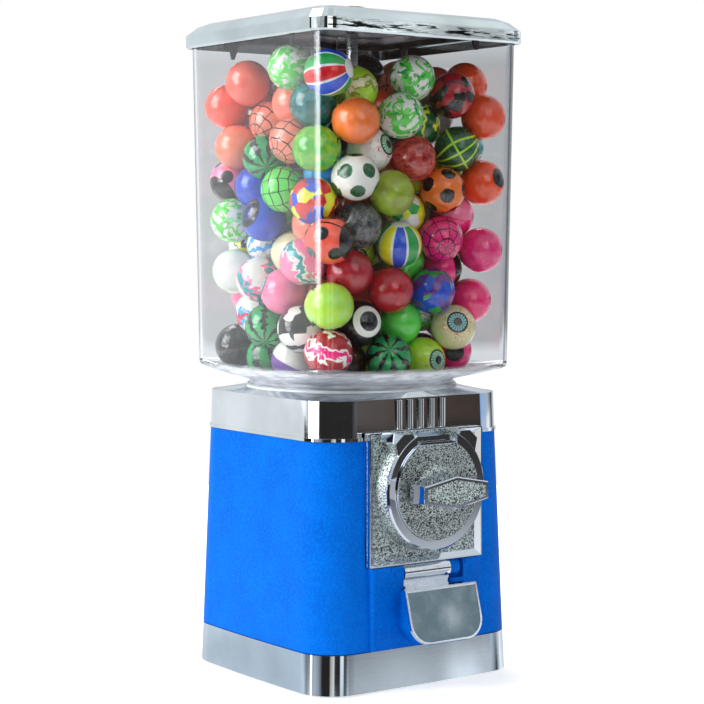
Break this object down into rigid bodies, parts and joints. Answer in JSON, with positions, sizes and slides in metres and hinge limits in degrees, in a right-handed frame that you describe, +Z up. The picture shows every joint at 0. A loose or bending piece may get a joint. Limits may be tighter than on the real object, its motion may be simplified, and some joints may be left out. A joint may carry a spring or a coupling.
{
  "type": "gumball machine",
  "caption": "Table-top gumball machine: square clear globe of rubber balls on a painted metal body, with a coin handle, dispensing wheel, chute door and locked lid.",
  "frame": {"origin": "on the table under the centre rod, at the underside of the rubber feet", "axes": "+Z up, the coin mechanism and chute door face -Y, +X to the right of someone facing the machine"},
  "size_m": [0.1774, 0.2097, 0.47],
  "materials": {
    "bright_chrome": "polished",
    "cast_chrome": "sand-cast face under thin chrome",
    "blue_paint": "satin",
    "globe_clear": "clear moulded plastic, polished",
    "zinc_steel": "zinc plated",
    "brass_turned": "turned",
    "wheel_plastic": "moulded",
    "housing_plastic": "moulded",
    "chute_plastic": "moulded",
    "tray_plastic": "moulded",
    "gear_plastic": "moulded nylon",
    "black_rubber": "matt",
    "bristle_nylon": "nylon bristle",
    "ball_rubber": "glossy many-coloured rubber"
  },
  "bodies": {
    "stand": {"ball_chute": "chute_plastic", "balls_layer_1": "ball_rubber", "balls_layer_2": "ball_rubber", "balls_layer_3": "ball_rubber", "balls_layer_4": "ball_rubber", "balls_layer_5": "ball_rubber", "base_tray": "bright_chrome", "body_shell": "blue_paint", "brush_cover": "housing_plastic", "centre_rod": "zinc_steel", "coin_tray": "tray_plastic", "door_pin": "zinc_steel", "globe": "globe_clear", "globe_gasket": "black_rubber", "idler_stud": "zinc_steel", "mech_frame": "zinc_steel", "mech_plate": "cast_chrome", "mech_posts": "zinc_steel", "mech_screws": "zinc_steel", "pawl_pin": "zinc_steel", "plate_screws": "zinc_steel", "rod_nut": "zinc_steel", "rod_washer": "zinc_steel", "rubber_feet": "black_rubber", "top_ring": "bright_chrome", "wheel_housing": "housing_plastic", "wiper_brush": "bristle_nylon"},
    "drive": {"handle": "cast_chrome", "front_disc": "cast_chrome", "drive_shaft": "zinc_steel", "coin_wheel": "zinc_steel", "ratchet_wheel": "zinc_steel", "drive_gear": "gear_plastic", "shaft_clip": "zinc_steel"},
    "idler": {"idler_gear": "gear_plastic"},
    "wheel": {"ball_wheel": "wheel_plastic", "agitator": "wheel_plastic", "loaded_balls": "ball_rubber"},
    "pawl": {"pawl": "zinc_steel", "pawl_spring": "zinc_steel"},
    "door": {"chute_door": "cast_chrome"},
    "lid": {"lid": "bright_chrome", "lock_housing": "bright_chrome"},
    "lock": {"lock_plug": "brass_turned"}
  },
  "joints": [
    {"name": "handle_turn", "type": "hinge", "parent": "stand", "child": "drive", "pos_m": [0, -0.09, 0.137], "axis": [0, 1, 0], "continuous": true},
    {"name": "idler_spin", "type": "hinge", "parent": "stand", "child": "idler", "pos_m": [0, -0.06, 0.158], "axis": [0, 1, 0], "continuous": true},
    {"name": "wheel_spin", "type": "hinge", "parent": "stand", "child": "wheel", "pos_m": [0, 0, 0.18], "axis": [0, 0, 1], "continuous": true},
    {"name": "pawl_swing", "type": "hinge", "parent": "stand", "child": "pawl", "pos_m": [-0.0235, -0.082, 0.15], "axis": [0, -1, 0], "range_deg": [-15.5, 1.5], "stiffness_Nm_per_rad": 0.002},
    {"name": "door_swing", "type": "hinge", "parent": "stand", "child": "door", "pos_m": [0, -0.084, 0.08], "axis": [-1, 0, 0], "range_deg": [0, 50]},
    {"name": "lid_lift", "type": "slide", "parent": "stand", "child": "lid", "axis": [0, 0, 1], "range_m": [0, 0.08]},
    {"name": "lock_turn", "type": "hinge", "parent": "lid", "child": "lock", "pos_m": [0, 0, 0.467], "axis": [0, 0, 1], "range_deg": [0, 90]}
  ],
  "couplings": [
    {"joint": "idler_spin", "follows": "handle_turn", "ratio": -0.90909},
    {"joint": "wheel_spin", "follows": "handle_turn", "ratio": -0.16667}
  ]
}
